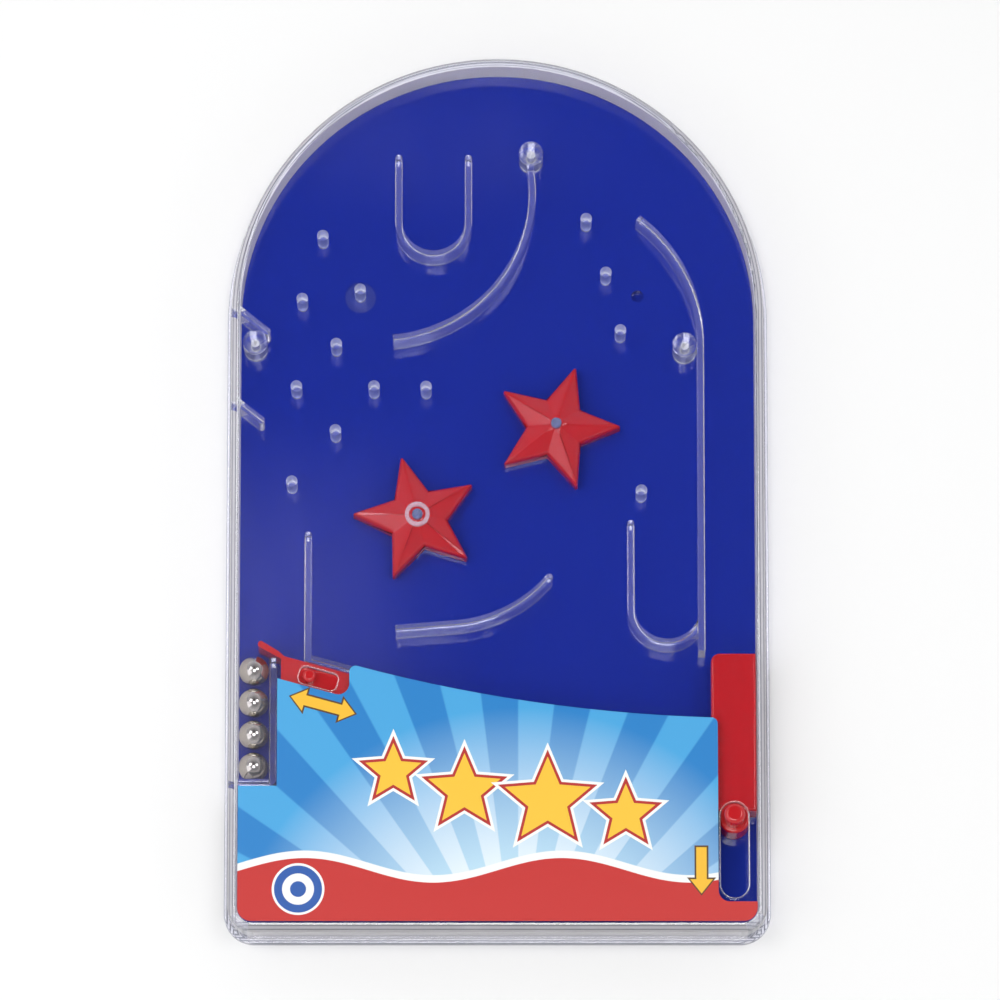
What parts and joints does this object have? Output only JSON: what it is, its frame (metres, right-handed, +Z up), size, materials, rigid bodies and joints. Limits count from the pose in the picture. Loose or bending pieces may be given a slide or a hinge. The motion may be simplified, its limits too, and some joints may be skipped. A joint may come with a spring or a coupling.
{
  "type": "tabletop pinball game",
  "caption": "Arch-topped handheld pinball game: clear cover with moulded pins and rails over a flat base, star spinners, steel balls in a storage lane, a ball lock and a sprung shooter.",
  "frame": {"origin": "middle of the case on the surface that it lies on", "axes": "+X to the player's right, +Y up the playfield towards the arch, +Z up out of the clear cover"},
  "size_m": [0.158, 0.264, 0.0194],
  "materials": {
    "blue_floor": "gloss, moulded",
    "clear": "clear, polished",
    "red": "gloss, moulded",
    "star_red": "satin gloss, moulded",
    "label": "printed, glossy film",
    "ball_steel": "polished",
    "screw_steel": "zinc plated",
    "spring_steel": "drawn wire"
  },
  "bodies": {
    "case": {"base_plate": "blue_floor", "slide_guides": "blue_floor", "spring_post": "blue_floor", "clear_cover": "clear", "cover_pins": "clear", "screw_bosses": "clear", "star_pivots": "clear", "u_pocket_rail": "clear", "sweep_rail": "clear", "lane_rail": "clear", "side_pocket_rail": "clear", "low_rail": "clear", "drain_rail": "clear", "wall_deflectors": "clear", "ball_lane_divider": "clear", "cover_screws": "screw_steel", "printed_label": "label"},
    "shooter": {"shooter_slide": "red", "shooter_spring": "spring_steel"},
    "lock": {"lock_slider": "red"},
    "left_star": {"star_left": "star_red"},
    "right_star": {"star_right": "star_red"},
    "stored_ball_1": {"ball_1": "ball_steel"},
    "stored_ball_2": {"ball_2": "ball_steel"},
    "stored_ball_3": {"ball_3": "ball_steel"},
    "stored_ball_4": {"ball_4": "ball_steel"}
  },
  "joints": [
    {"name": "shooter_pull", "type": "slide", "parent": "case", "child": "shooter", "axis": [0, -1, 0], "range_m": [0, 0.02], "stiffness_N_per_m": 150, "springref_m": -0.005, "deforming": ["shooter_spring"]},
    {"name": "lock_slide", "type": "slide", "parent": "case", "child": "lock", "axis": [0.9636, -0.2672, 0], "range_m": [0, 0.0058]},
    {"name": "left_star_spin", "type": "hinge", "parent": "case", "child": "left_star", "pos_m": [-0.02328, -0.00705, 0.007], "axis": [0, 0, 1], "continuous": true},
    {"name": "right_star_spin", "type": "hinge", "parent": "case", "child": "right_star", "pos_m": [0.01712, 0.02024, 0.007], "axis": [0, 0, 1], "continuous": true},
    {"name": "ball_1_roll", "type": "slide", "parent": "case", "child": "stored_ball_1", "axis": [0, 1, 0], "range_m": [0, 0.0007]},
    {"name": "ball_2_roll", "type": "slide", "parent": "case", "child": "stored_ball_2", "axis": [0, 1, 0], "range_m": [0, 0.0007]},
    {"name": "ball_3_roll", "type": "slide", "parent": "case", "child": "stored_ball_3", "axis": [0, 1, 0], "range_m": [0, 0.0007]},
    {"name": "ball_4_roll", "type": "slide", "parent": "case", "child": "stored_ball_4", "axis": [0, 1, 0], "range_m": [0, 0.0007]}
  ]
}
